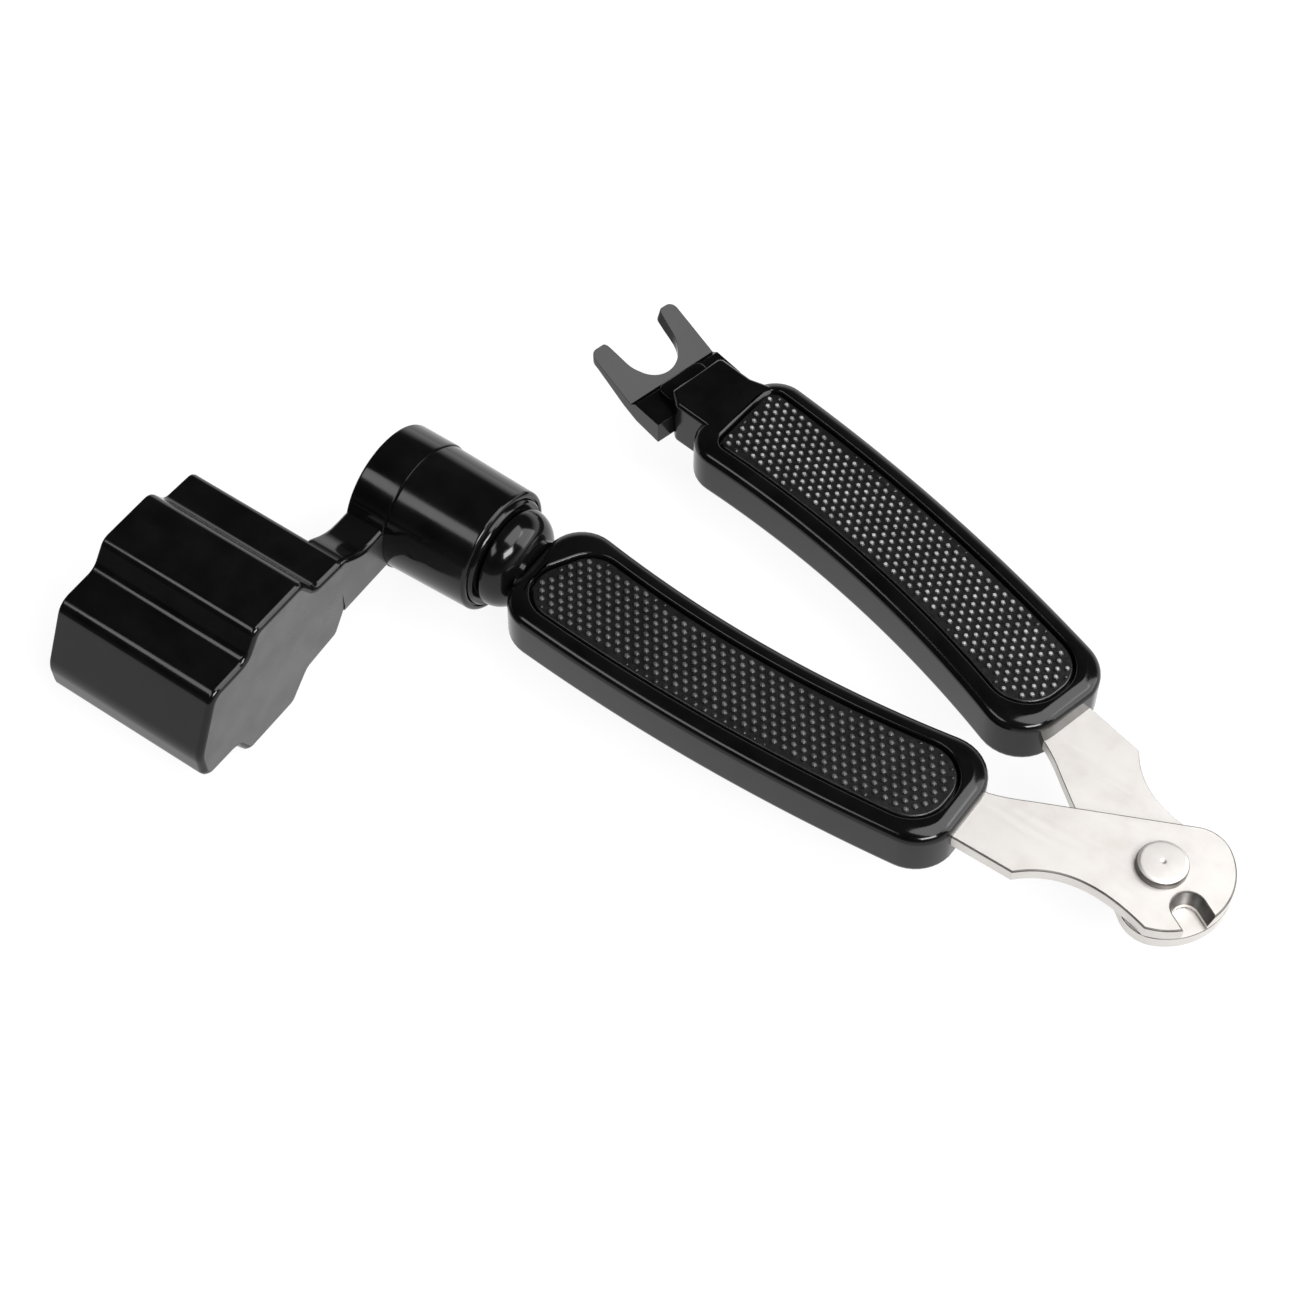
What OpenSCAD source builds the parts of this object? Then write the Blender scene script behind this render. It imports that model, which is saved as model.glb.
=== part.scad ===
// Three-in-one string winder: a free-turning crank with a tuner socket, a two-prong bridge pin
// fork and a string cutter, on two curved handles that turn on one rivet.
// Millimetres, +Z up along the rivet. The winder handle lies along -X with its crank towards -Y.

/* [Handles] */
// Distance from the rivet to the near end of both handles
handle_start = 24.2; // [20:0.1:32]
// Distance from the rivet to the far end of the winder handle
winder_end = 94.4; // [80:0.1:110]
// Distance from the rivet to the far end of the puller handle
puller_end = 93.4; // [80:0.1:110]
// Thickness of both handles
handle_h = 8.4; // [7:0.1:14]
// Radius of the hollow edge that faces the other handle
inner_edge_r = 180; // [120:5:400]
// Radius of the bowed outer edge
outer_edge_r = 300; // [200:5:600]
// Distance from the tool's middle line to the hollow edge's deepest point
inner_edge_y = 1.07; // [0:0.01:4]
// Distance from the tool's middle line to the outer edge's highest point
outer_edge_y = 18.87; // [14:0.01:24]
// Radius of the corners at the plate end of both handles
near_corner_r = 6.2; // [3:0.1:8]
// Radius of the corners at the crank end of the winder handle
winder_corner_r = 5.6; // [3:0.1:8]
// Radius of the corners at the fork end of the puller handle
puller_corner_r = 5; // [3:0.1:8]
// Angle between the two handles at rest
open_angle = 14.2; // [0:0.1:60]

/* [Grip pads] */
// Width of the rim around each pad recess
rim_w = 2.7; // [1.5:0.1:4]
// Gap between the pad and the recess wall
pad_gap = 0.4; // [0.2:0.05:1]
// Depth of the recess
recess_depth = 1.3; // [0.8:0.1:2]
// Thickness of each pad
pad_h = 1; // [0.6:0.1:1.8]
// Extra rim at the crank end of the winder recess
winder_rim_extra = 1.3; // [0:0.1:3]
// Extra rim at the fork end of the puller recess
puller_rim_extra = 1.3; // [0:0.1:3]
// How far the far end of each recess leans outwards across its width
recess_lean = 1.8; // [0:0.1:3]
// Corner radius of the winder recess at the crank end
round_corner_r = 5; // [1:0.1:6]
// Corner radius of the puller recess at the fork end
square_corner_r = 2; // [1:0.1:5]

/* [Cutter plates] */
// Thickness of each plate
plate_h = 1.95; // [1:0.05:3]
// Gap between each plate and the plane where they meet
plate_gap = 0.05; // [0.02:0.01:0.1]
// Radius of the cutter disc
disc_r = 9.6; // [8:0.1:12]
// Width of the tang inside each handle
tang_w = 8.6; // [6:0.1:10]
// Distance from the rivet to the end of the tang
tang_end = 58; // [40:1:70]
// Radius of the string notch
notch_r = 2.3; // [1:0.1:3]
// Distance from the rivet to the notch's round end centre
notch_pos = 6.7; // [5:0.1:8]
// Direction of the notch from the handle axis
notch_angle = -30; // [-60:1:0]

/* [Rivet and pins] */
// Radius of the rivet's shank
rivet_r = 2.5; // [1.5:0.1:3]
// Radius of the rivet's heads
rivet_head_r = 3.5; // [3:0.1:5]
// Height of each rivet head
rivet_head_h = 1.3; // [0.8:0.1:2]
// Running clearance around shafts that turn
running_gap = 0.05; // [0.02:0.01:0.1]
// Radius of the tang pins
tang_pin_r = 1.5; // [1:0.1:2]
// Half length of the tang pins
tang_pin_half = 2.6; // [2:0.1:2.8]
// Distance from the rivet to the front tang pin
tang_pin_front_x = 34; // [28:1:40]
// Distance from the rivet to the rear tang pin
tang_pin_rear_x = 50; // [42:1:55]

/* [Crank] */
// Distance from the tool's middle line to the crank's axis
axis_y = 7.2; // [6:0.1:9]
// Distance from the rivet to the barrel's near end
barrel_start = 99.7; // [98:0.1:104]
// Distance from the rivet to the seam between barrel and hub
hub_start = 114; // [110:0.1:118]
// Thickness of the hub and arm
arm_t = 6.6; // [4:0.1:8]
// Radius of the barrel at the hub
barrel_r = 9.6; // [8:0.1:11]
// Radius of the barrel at its near end
barrel_near_r = 9.25; // [8:0.05:11]
// Radius of the hub ring
hub_r = 9.8; // [8:0.1:11]
// Length of the tuner socket
socket_len = 27; // [20:0.5:34]
// Wall thickness of the tuner socket
socket_wall = 2; // [1.5:0.1:3]
// Thickness of the socket's closed end
socket_floor = 3; // [2:0.1:5]
// Half width of the arm
arm_half = 4; // [3:0.1:6]
// Reach of the socket from the crank's axis
socket_reach = 49.5; // [47:0.1:54]
// Tilt of the crank below the handles' plane at rest
crank_tilt = 2.3; // [-10:0.1:10]

/* [Spindle] */
// Radius of the spindle
spindle_r = 2.2; // [2:0.1:2.4]
// Depth of the spindle in the winder handle
spindle_grip = 15.7; // [10:0.1:20]
// Axial gap between the collar and the barrel
axial_gap = 0.2; // [0.1:0.05:0.4]
// Radius of the spigot that centres the hub in the barrel
spigot_r = 6; // [4:0.1:7]
// Length of that spigot
spigot_len = 4; // [2:0.1:6]
// Radius of the pocket for washer, screw and cap
pocket_r = 5.4; // [4.5:0.1:7]
// Depth of that pocket
pocket_depth = 3.6; // [3:0.1:4.5]

/* [Fork] */
// Width over both prongs
fork_w = 15.7; // [13:0.1:18]
// Half width of the slot where it flares at the top of the prongs
slot_top_r = 5.1; // [4:0.05:5.5]
// Half width of the slot below the flare
slot_r = 4.1; // [3:0.05:5]
// Distance from the rivet to the prong tips
fork_tip = 113.8; // [108:0.1:113.9]
// Distance from the rivet to the slot's round end centre
slot_pos = 109.8; // [106:0.1:111]
// Distance from the puller's middle line to the middle of the slot
slot_y = 7.4; // [7:0.1:8]
// Distance from the rivet to the fork's shoulder
fork_start = 98.5; // [96:0.1:102]
// Distance from the rivet to the end of the neck
neck_end = 100.5; // [99:0.1:102]
// Distance from the rivet to the end of the tongue over the fork
tongue_end = 103.4; // [102:0.1:105]
// Width of the fork's shank in the neck
shank_w = 7; // [5:0.1:9]
// Length of the fork's shank
shank_len = 10; // [6:0.5:14]
// Half thickness of that shank
shank_half = 1.5; // [1:0.1:2]

/* [Hidden] */
$fn = 96;
arc_steps = 8;
edge_steps = 24;
// Middle of the whole tool in plan and its lowest point, moved to the origin
centre_x = 65.7;
centre_y = 7.06;
floor_z = 12.85;
pad_inset = rim_w + pad_gap;
winder_pad_end = winder_end - winder_rim_extra;
puller_pad_end = puller_end - puller_rim_extra;
half_h = handle_h / 2;
recess_z = half_h - recess_depth;
tang_y = -axis_y - 0.4;
inner_corner_r = 0.6;
socket_start = hub_start + socket_len;
hub_end = hub_start + arm_t;
pocket_start = hub_end - pocket_depth;
spindle_end = pocket_start + 0.1;
washer_h = 0.8;
washer_r = 4.8;
screw_head_r = 3.2;
screw_head_h = 1.6;
screw_r = 1.25;
screw_len = 10.5;
cap_h = 0.8;
notch_out = 8;
arm_overlap = 19;
base_top = 0.7;
tongue_top = 2;
fork_bottom = -3;
fork_top = 3.1;
flare_z = 1;
tab_side = 8;

black = [0.03, 0.03, 0.03];
rubber = [0.09, 0.09, 0.09];
steel = [0.8, 0.79, 0.76];

// Points on an arc around c, from angle a0 to a1
function arc(c, r, a0, a1, n = arc_steps) =
  [for (i = [0:n]) let (a = a0 + (a1 - a0) * i / n) [c.x + r * cos(a), c.y + r * sin(a)]];

// Height of a corner circle's centre that touches an edge circle
function touch_y(c, reach, x) = c.y - sqrt(reach * reach - (x - c.x) * (x - c.x));
function angle_from(c, p) = atan2(p.y - c.y, p.x - c.x);

// Handle outline in plan: two edge arcs and four corner arcs, moved inwards by w; the far end
// leans out by lean towards the outer edge
function handle_outline(w, far, far_r, near_r, lean = 0) =
  let (
    ic = [-60, inner_edge_r - inner_edge_y],
    oc = [-63, outer_edge_r - outer_edge_y],
    ir = inner_edge_r + w,
    outer = outer_edge_r - w,
    fx = -far + w + far_r,
    nx = -handle_start - w - near_r,
    c1 = [fx, touch_y(ic, ir + far_r, fx)],
    c2 = [nx, touch_y(ic, ir + near_r, nx)],
    c3 = [nx, touch_y(oc, outer - near_r, nx)],
    c4 = [fx - lean, touch_y(oc, outer - far_r, fx - lean)],
    tilt = atan(lean / (c1.y - c4.y)),
    a1 = angle_from(ic, c1),
    a2 = angle_from(ic, c2),
    a3 = angle_from(oc, c3),
    a4 = angle_from(oc, c4)
  )
  concat(
    arc(ic, ir, a1, a2, edge_steps),
    arc(c2, near_r, a2 + 180, 0),
    arc(c3, near_r, 0, a3),
    arc(oc, outer, a3, a4, edge_steps),
    arc(c4, far_r, a4, -180 - tilt),
    arc(c1, far_r, 180 - tilt, a1 + 180)
  );

// Unit vector, and the arc that rounds a corner b between a and c by radius r
function unit(v) = v / norm(v);
function corner(a, b, c, r) =
  let (
    u = unit(a - b),
    v = unit(c - b),
    half = acos(max(-1, min(1, u * v))) / 2,
    m = b + unit(u + v) * r / sin(half),
    p = b + u * r / tan(half),
    q = b + v * r / tan(half),
    a0 = angle_from(m, p),
    turn = angle_from(m, q) - a0,
    sweep = turn > 180 ? turn - 360 : (turn < -180 ? turn + 360 : turn)
  )
  arc(m, r, a0, a0 + sweep, 6);
function rounded(p) =
  [for (i = [0:len(p) - 1])
    let (n = len(p), a = p[(i + n - 1) % n], b = p[i], c = p[(i + 1) % n])
    each (b.z > 0 ? corner([a.x, a.y], [b.x, b.y], [c.x, c.y], b.z) : [[b.x, b.y]])];

// Socket outline as reach from the crank's axis, height and corner radius, clockwise
function socket_corners() = [
  [16.5, 6.6, 1.5],
  [23.1, 7.1, 2],
  [25.3, 10.8, 2],
  [35, 11, 2.2],
  [37.8, 7.4, 2.5],
  [socket_reach - 4.8, 7.4, 3],
  [socket_reach, -2, 5],
  [socket_reach - 0.2, -7.5, 2],
  [42.6, -7.7, 1.5],
  [40.8, -11.3, 1.8],
  [30.9, -11.2, 2],
  [27.1, -7.4, 2],
  [20.7, -6.8, 1.5],
  [18.1, -3.2, 2]
];

// Clockwise corners moved inwards by w, with outer corners sharper and hollow ones rounder
function inward(p, w) =
  [for (i = [0:len(p) - 1])
    let (
      n = len(p),
      a = p[(i + n - 1) % n],
      b = p[i],
      c = p[(i + 1) % n],
      u = unit([b.x - a.x, b.y - a.y]),
      v = unit([c.x - b.x, c.y - b.y]),
      m = [u.y + v.y, -u.x - v.x] / (1 + u * v),
      hollow = cross(u, v) > 0
    )
    [b.x + w * m.x, b.y + w * m.y, hollow ? b.z + w : max(inner_corner_r, b.z - w)]];
function socket_outline(w) = rounded(inward(socket_corners(), w));

// Side view of the arm, flared where it meets the socket
function arm_outline() = rounded([
  [0, -arm_half, 0],
  [0, arm_half, 0],
  [12.4, arm_half, 3],
  [16.6, 6.4, 0],
  [arm_overlap, 6.4, 0],
  [arm_overlap, -arm_half, 0]
]);

module placed() {
  translate([centre_x, centre_y, floor_z])
    children();
}

// The puller side is the winder side turned over and opened about the rivet
module opened() {
  placed() rotate([0, 0, -open_angle])
    children();
}

module turned_over() {
  opened() rotate([180, 0, 0])
    children();
}

// Shapes drawn along +Z are laid along +X on the crank's axis
module axial(x) {
  translate([-x, -axis_y, 0]) rotate([0, 90, 0])
    children();
}

// Shapes drawn as (reach, height) face -X from the crank's axis, tilted as the crank rests
module crank_plane(x) {
  translate([-x, -axis_y, 0]) rotate([crank_tilt, 0, 0]) rotate([0, 90, 0]) rotate([0, 0, -90])
    mirror([0, 1, 0])
      children();
}

module handle_slab(far, far_r, near_r, z, h) {
  translate([0, 0, z])
    linear_extrude(h)
      polygon(handle_outline(0, far, far_r, near_r));
}

module recess_slab(far, far_r, near_r, w, z, h) {
  translate([0, 0, z])
    linear_extrude(h)
      polygon(handle_outline(w, far, far_r, near_r, recess_lean));
}

module both_faces() {
  children();
  mirror([0, 0, 1])
    children();
}

module tang_slot() {
  translate([-tang_end, tang_y - tang_w / 2, plate_gap])
    cube([tang_end, tang_w, plate_h]);
}

module tang_pin(x) {
  translate([-x, tang_y, -tang_pin_half])
    cylinder(h = 2 * tang_pin_half, r = tang_pin_r, $fn = 48);
}

// far and far_r shape the handle's far end, pad_far and pad_r that of its recesses
module handle_blank(far, far_r, pad_far, pad_r) {
  difference() {
    handle_slab(far, far_r, near_corner_r, -half_h, handle_h);
    both_faces()
      recess_slab(pad_far, pad_r, near_corner_r - pad_gap, rim_w, recess_z, recess_depth + 1);
    tang_slot();
    tang_pin(tang_pin_front_x);
    tang_pin(tang_pin_rear_x);
  }
}

module grip_pad(pad_far, pad_r) {
  recess_slab(pad_far, pad_r - pad_gap, near_corner_r - 2 * pad_gap, pad_inset, recess_z, pad_h);
}

// Cubic curve through four control points
function curve(p, n) = [for (i = [0:n]) let (t = i / n, s = 1 - t)
  s * s * s * p[0] + 3 * s * s * t * p[1] + 3 * s * t * t * p[2] + t * t * t * p[3]];

// Disc, neck and tang, with the upper edge straight to a small arc and the lower edge waved
function plate_outline() =
  let (
    slope = 24.7,
    fillet = 5,
    drop = 2,
    side = sqrt((disc_r - fillet) * (disc_r - fillet) - drop * drop),
    c = [side * cos(slope) - drop * sin(slope), side * sin(slope) + drop * cos(slope)],
    join = atan2(c.y, c.x),
    low = -74,
    foot = [disc_r * cos(low), disc_r * sin(low)]
  )
  concat(
    [[-tang_end, tang_y + tang_w / 2], [-handle_start - 0.5, tang_y + tang_w / 2]],
    curve([[-24, -3.2], [-22, -2.6], [-20.5, -1.9], [-19, -1.13]], 6),
    arc(c, fillet, 90 + slope, join),
    arc([0, 0], disc_r, join, low, 28),
    curve([foot, [-3, -7.5], [-10, -6.4], [-15.2, tang_y - tang_w / 2]], 12),
    [[-tang_end, tang_y - tang_w / 2]]
  );

module notch() {
  rotate([0, 0, notch_angle])
    translate([notch_pos, 0, 0]) {
      cylinder(h = 2 * plate_h + 1, r = notch_r);
      translate([0, -notch_r, 0])
        cube([notch_out, 2 * notch_r, 2 * plate_h + 1]);
    }
}

module plate(hole_r) {
  difference() {
    translate([0, 0, plate_gap])
      linear_extrude(plate_h)
        polygon(plate_outline());
    translate([0, 0, -1])
      cylinder(h = plate_h + 3, r = hole_r);
    translate([0, 0, -1])
      notch();
    tang_pin(tang_pin_front_x);
    tang_pin(tang_pin_rear_x);
  }
}

// Side view of the fork: ramped prongs, a shallow seat and a shoulder that meets the neck
function fork_profile() = [
  [-fork_start, fork_bottom],
  [-fork_start, base_top],
  [-103.6, base_top],
  [-104.6, -0.1],
  [-fork_tip, fork_top],
  [-fork_tip, 1.7],
  [-111.6, 1.1],
  [-106.2, -1.7],
  [-103.4, -2.65]
];

module fork_block() {
  translate([0, axis_y + fork_w / 2, 0]) rotate([90, 0, 0])
    linear_extrude(fork_w)
      polygon(fork_profile());
}

module fork_shank() {
  translate([-fork_start, axis_y - shank_w / 2, -shank_half])
    cube([shank_len, shank_w, 2 * shank_half]);
}

// The slot's walls are upright below and flare outwards above
module fork_slot() {
  low = fork_bottom - 1;
  flare_h = fork_top - flare_z;
  translate([-slot_pos, slot_y, low]) {
    cylinder(h = flare_z - low, r = slot_r);
    translate([0, 0, flare_z - low])
      cylinder(h = 2 * flare_h, r1 = slot_r, r2 = 2 * slot_top_r - slot_r);
    rotate([90, 0, -90])
      linear_extrude(tab_side)
        polygon([
          [-slot_r, 0],
          [slot_r, 0],
          [slot_r, flare_z - low],
          [2 * slot_top_r - slot_r, flare_z - low + 2 * flare_h],
          [slot_r - 2 * slot_top_r, flare_z - low + 2 * flare_h],
          [-slot_r, flare_z - low]
        ]);
  }
}

// Plan of the neck that holds the fork
function neck_outline() = rounded([
  [-puller_end + 2, 1.35, 0],
  [-neck_end + 2.7, 2, 1.2],
  [-neck_end + 0.3, 3.3, 0.8],
  [-neck_end, 12.8, 1],
  [-puller_end - 1.2, 13.4, 1],
  [-puller_end + 2, 16.2, 0]
]);

// Tongue that laps over the fork's seat
function tongue_outline() = rounded([
  [-neck_end + 1, 3.2, 0],
  [-tongue_end, 3.2, 1],
  [-tongue_end, 11.2, 1],
  [-neck_end + 1, 11.2, 0]
]);

module winder_handle() {
  color(black) placed()
    difference() {
      handle_blank(winder_end, winder_corner_r, winder_pad_end, round_corner_r);
      axial(winder_end + 1)
        cylinder(h = spindle_grip + 1, r = spindle_r);
    }
}

module puller_handle() {
  color(black) {
    difference() {
      union() {
        turned_over()
          handle_blank(puller_end, puller_corner_r, puller_pad_end, square_corner_r);
        opened() {
          translate([0, 0, -half_h])
            linear_extrude(handle_h)
              polygon(neck_outline());
          translate([0, 0, base_top])
            linear_extrude(tongue_top - base_top)
              polygon(tongue_outline());
        }
      }
      opened() {
        translate([-fork_start - tab_side, 0, -half_h - 1])
          cube([tab_side, 2 * axis_y, half_h + 1 + base_top]);
        fork_shank();
      }
    }
  }
}

module winder_grip_top() {
  color(rubber) placed()
    grip_pad(winder_pad_end, round_corner_r);
}

module winder_grip_bottom() {
  color(rubber) placed() mirror([0, 0, 1])
    grip_pad(winder_pad_end, round_corner_r);
}

module puller_grip_top() {
  color(rubber) turned_over() mirror([0, 0, 1])
    grip_pad(puller_pad_end, square_corner_r);
}

module puller_grip_bottom() {
  color(rubber) turned_over()
    grip_pad(puller_pad_end, square_corner_r);
}

module winder_tang_pin_front() {
  color(steel) placed()
    tang_pin(tang_pin_front_x);
}

module winder_tang_pin_rear() {
  color(steel) placed()
    tang_pin(tang_pin_rear_x);
}

module puller_tang_pin_front() {
  color(steel) turned_over()
    tang_pin(tang_pin_front_x);
}

module puller_tang_pin_rear() {
  color(steel) turned_over()
    tang_pin(tang_pin_rear_x);
}

module upper_cutter_plate() {
  color(steel) placed()
    plate(rivet_r);
}

module lower_cutter_plate() {
  color(steel) turned_over()
    plate(rivet_r + running_gap);
}

// The shank is tight in the upper plate and free in the lower one
module pivot_rivet() {
  face = plate_gap + plate_h;
  color(steel) placed() {
    translate([0, 0, face])
      cylinder(h = rivet_head_h, r = rivet_head_r);
    translate([0, 0, -face - rivet_head_h - running_gap])
      cylinder(h = rivet_head_h, r = rivet_head_r);
    translate([0, 0, -face - 0.5])
      cylinder(h = 2 * face + 1, r = rivet_r);
  }
}

module pin_fork() {
  color(black) opened() {
    difference() {
      union() {
        fork_block();
        fork_shank();
      }
      fork_slot();
    }
  }
}

// Domed ring fixed to the winder handle
module swivel_collar() {
  near = barrel_start - axial_gap - winder_end;
  color(black) placed() axial(barrel_start - axial_gap)
    rotate_extrude()
      polygon(concat(
        [[spindle_r, 0], [7.4, 0]],
        arc([3.4, 0.5], 4, 0, 70),
        [[4.6, near], [spindle_r, near]]
      ));
}

module crank_spindle() {
  color(steel) placed()
    difference() {
      axial(spindle_end)
        cylinder(h = spindle_end - winder_end + spindle_grip, r = spindle_r);
      axial(spindle_end + 1)
        cylinder(h = screw_len + 1, r = screw_r, $fn = 48);
    }
}

module spindle_washer() {
  color(steel) placed() axial(spindle_end + washer_h)
    difference() {
      cylinder(h = washer_h, r = washer_r);
      translate([0, 0, -1])
        cylinder(h = washer_h + 2, r = screw_r, $fn = 48);
    }
}

module spindle_screw() {
  color(steel) placed() axial(spindle_end + washer_h + screw_head_h) {
    cylinder(h = screw_head_h, r = screw_head_r);
    cylinder(h = screw_head_h + washer_h + screw_len, r = screw_r, $fn = 48);
  }
}

module crank_barrel() {
  len = hub_start - barrel_start;
  bore = spindle_r + running_gap;
  color(black) placed() axial(hub_start)
    rotate_extrude()
      polygon([
        [bore, spigot_len], [spigot_r, spigot_len], [spigot_r, 0], [barrel_r, 0],
        [barrel_near_r, len - 0.9], [barrel_near_r - 0.9, len - 0.3], [8.2, len - 0.3],
        [8.2, len], [bore, len]
      ]);
}

module crank_socket() {
  color(black) placed()
    difference() {
      union() {
        axial(hub_end)
          cylinder(h = arm_t, r = hub_r);
        axial(hub_start + 1)
          cylinder(h = spigot_len + 1, r = spigot_r);
        crank_plane(hub_end)
          linear_extrude(arm_t)
            polygon(arm_outline());
        crank_plane(socket_start)
          linear_extrude(socket_len)
            polygon(socket_outline(0));
      }
      crank_plane(socket_start + 1)
        linear_extrude(socket_len + 1 - socket_floor)
          polygon(socket_outline(socket_wall));
      axial(hub_end + 1)
        cylinder(h = pocket_depth + 1, r = pocket_r);
      axial(hub_end + 1)
        cylinder(h = arm_t + spigot_len + 2, r = spindle_r + running_gap);
    }
}

module hub_cap() {
  color(black) placed() axial(hub_end)
    cylinder(h = cap_h, r = pocket_r);
}

winder_handle();
winder_grip_top();
winder_grip_bottom();
winder_tang_pin_front();
winder_tang_pin_rear();
upper_cutter_plate();
pivot_rivet();
puller_handle();
puller_grip_top();
puller_grip_bottom();
puller_tang_pin_front();
puller_tang_pin_rear();
lower_cutter_plate();
pin_fork();
swivel_collar();
crank_spindle();
spindle_washer();
spindle_screw();
crank_barrel();
crank_socket();
hub_cap();
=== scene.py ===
"""Looks for the three-in-one string winder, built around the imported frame.

Shapes are worked out in millimetres in the tool frame: the rivet's axis is Z, the plane where the
two cutter plates meet is z = 0, and the winder handle lies along -X. make() moves them to the row
frame in metres.
"""

import math

import bmesh
import bpy
from mathutils import Matrix, Vector


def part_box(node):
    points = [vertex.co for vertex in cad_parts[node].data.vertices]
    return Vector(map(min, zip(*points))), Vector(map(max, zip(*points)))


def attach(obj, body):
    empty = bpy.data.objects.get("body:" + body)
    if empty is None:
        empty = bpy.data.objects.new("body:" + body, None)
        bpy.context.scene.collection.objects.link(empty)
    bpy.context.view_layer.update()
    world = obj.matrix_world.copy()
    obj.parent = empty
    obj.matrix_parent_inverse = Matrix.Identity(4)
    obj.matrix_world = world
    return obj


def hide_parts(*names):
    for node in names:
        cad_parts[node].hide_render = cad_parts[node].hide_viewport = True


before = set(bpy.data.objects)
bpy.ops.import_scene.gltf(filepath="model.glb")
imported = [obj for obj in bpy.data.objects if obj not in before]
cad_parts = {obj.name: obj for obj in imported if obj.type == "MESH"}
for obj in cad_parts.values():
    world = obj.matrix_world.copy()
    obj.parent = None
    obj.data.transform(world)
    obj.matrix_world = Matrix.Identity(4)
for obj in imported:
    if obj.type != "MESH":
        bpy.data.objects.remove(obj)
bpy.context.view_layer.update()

MM = 0.001
OPEN_ANGLE = math.radians(14.2)
CRANK_TILT = math.radians(2.3)
HANDLE_HALF = 4.2
RIM_PROFILE = [(2.15, 4.2), (1.9, 4.17), (1.5, 4.07), (1.1, 3.93), (0.8, 3.8), (0.55, 3.66), (0.33, 3.47),
               (0.15, 3.2), (0.04, 2.9), (0, 2.6)]
RIM_W = 2.7
PAD_GAP = 0.4
NEAR_R = 6.2
WINDER_R = 5.6
PULLER_R = 5.0
WINDER_PAD_R = 5.0
PULLER_PAD_R = 2.0
RECESS_LEAN = 1.8
RECESS_Z = 2.9
RECESS_LIP_R = 0.45
CORNER_MIN_R = 0.3
PAD_TOP = 3.85
PAD_EDGE = 0.25
INNER_EDGE_R = 180
OUTER_EDGE_R = 300
INNER_EDGE_Y = 1.07
OUTER_EDGE_Y = 18.87
HANDLE_START = 24.2
AXIS_Y = 7.2
PLATE_GAP = 0.05
PLATE_TOP = 2.0
PLATE_EDGE = 0.22
DISC_R = 9.6
DISC_FOOT_ANGLE = -74
NOTCH_ANGLE = -30
NOTCH_GROUND = (2.3, 6.7, 0)
NOTCH_CUT = (1.8, 7.15, -0.5)
TANG_Y = -AXIS_Y - 0.4
TANG_HALF = 4.3
TANG_END = 58
NECK_START = 24.7
SHOULDER_X = 15.2
RIVET_R = 2.5
RIVET_HEAD_TOP = 3.3
RUNNING_GAP = 0.05
SPINDLE_R = 2.2
AXIAL_GAP = 0.2
BARREL_START = 99.7
BARREL_R = 9.6
BARREL_NEAR_R = 9.25
SPIGOT_R = 6.0
SPIGOT_LEN = 4
HUB_START = 114.0
HUB_R = 9.8
ARM_T = 6.6
HUB_END = 120.6
POCKET_R = 5.4
POCKET_DEPTH = 3.6
SOCKET_LEN = 27.0
SOCKET_START = 141.0
SOCKET_WALL = 2
SOCKET_DEPTH = 24
SOCKET_MIN_R = 0.6
WINDER_END = 94.4
WINDER_PAD_END = 93.1
PULLER_END = 93.4
PULLER_PAD_END = 92.1

# The rivet is longer below the plates' meeting plane than above it, so its box sits a little low
RIVET_OFFSET = 0.025
low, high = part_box("pivot_rivet")
ORIGIN = Vector(((low.x + high.x) / 2, (low.y + high.y) / 2, (low.z + high.z) / 2 + RIVET_OFFSET * MM))

TO_ROW = Matrix.Translation(ORIGIN) @ Matrix.Scale(MM, 4)
OPENED = TO_ROW @ Matrix.Rotation(-OPEN_ANGLE, 4, "Z")
TURNED_OVER = OPENED @ Matrix.Rotation(math.pi, 4, "X")


# ---------------------------------------------------------------- outlines

def arc(c, r, a0, a1, n):
    """Points on an arc around c, angles in degrees."""
    return [
        (c[0] + r * math.cos(math.radians(a0 + (a1 - a0) * i / n)),
         c[1] + r * math.sin(math.radians(a0 + (a1 - a0) * i / n)))
        for i in range(n + 1)
    ]


def angle_from(c, p):
    """The direction from c to p in degrees."""
    return math.degrees(math.atan2(p[1] - c[1], p[0] - c[0]))


def handle_outline(w, far, far_r, near_r, steps=10, edge_steps=40, lean=0.0):
    """The handle's outline in plan, moved inwards by w: two edge arcs and four corner arcs."""
    ic, oc = (-60, INNER_EDGE_R - INNER_EDGE_Y), (-63, OUTER_EDGE_R - OUTER_EDGE_Y)
    ir, outer = INNER_EDGE_R + w, OUTER_EDGE_R - w

    def touch_y(c, reach, x):
        return c[1] - math.copysign(1, reach) * math.sqrt(reach * reach - (x - c[0]) ** 2)

    fx = -far + w + far_r
    nx = -HANDLE_START - w - near_r
    c1 = (fx, touch_y(ic, ir + far_r, fx))
    c2 = (nx, touch_y(ic, ir + near_r, nx))
    c3 = (nx, touch_y(oc, outer - near_r, nx))
    c4 = (fx - lean, touch_y(oc, outer - far_r, fx - lean))
    tilt = math.degrees(math.atan(lean / (c1[1] - c4[1])))
    a1, a2, a3, a4 = angle_from(ic, c1), angle_from(ic, c2), angle_from(oc, c3), angle_from(oc, c4)
    return (
        arc(ic, ir, a1, a2, edge_steps)
        + arc(c2, near_r, a2 + 180, 0, steps)[1:]
        + arc(c3, near_r, 0, a3, steps)[1:]
        + arc(oc, outer, a3, a4, edge_steps)[1:]
        + arc(c4, far_r, a4, -180 - tilt, steps)[1:]
        + arc(c1, far_r, 180 - tilt, a1 + 180, steps)[:-1]
    )


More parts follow.
